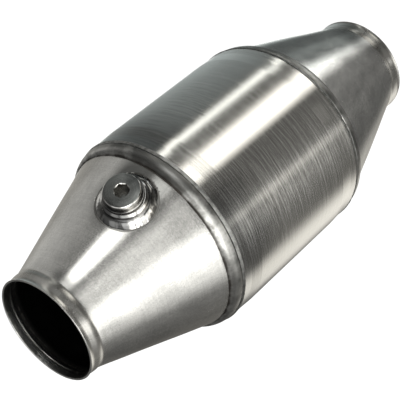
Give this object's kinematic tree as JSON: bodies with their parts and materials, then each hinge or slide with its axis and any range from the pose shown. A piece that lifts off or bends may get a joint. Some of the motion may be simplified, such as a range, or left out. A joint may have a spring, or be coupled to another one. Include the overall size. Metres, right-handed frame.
{
  "type": "catalytic converter",
  "caption": "Round exhaust catalytic converter: brushed steel barrel, spun cone with short collar at each end, honeycomb inside, plugged sensor boss on one cone.",
  "frame": {"origin": "centre of the outlet mouth, in the plane of its lip", "axes": "+Z along the body's axis from the outlet mouth to the inlet mouth, the sensor boss faces -Y"},
  "size_m": [0.13, 0.1328, 0.305],
  "materials": {
    "brushed_shell": "fine circumferential brushing",
    "spun_cone": "satin, as spun",
    "weld": "dressed weld",
    "turned_steel": "turned, bright",
    "washer": "plain",
    "plug": "turned, dark bright",
    "foil": "thin foil with a matt coat"
  },
  "bodies": {
    "root": {"outer_shell": "brushed_shell", "inlet_cone": "spun_cone", "outlet_cone": "spun_cone", "inlet_weld": "weld", "outlet_weld": "weld", "sensor_boss": "turned_steel", "boss_weld": "weld", "sealing_washer": "washer", "sensor_plug": "plug", "flat_foil_1": "foil", "flat_foil_2": "foil", "flat_foil_3": "foil", "flat_foil_4": "foil", "wavy_foil_1": "foil", "wavy_foil_2": "foil", "wavy_foil_3": "foil", "wavy_foil_4": "foil"}
  },
  "joints": []
}
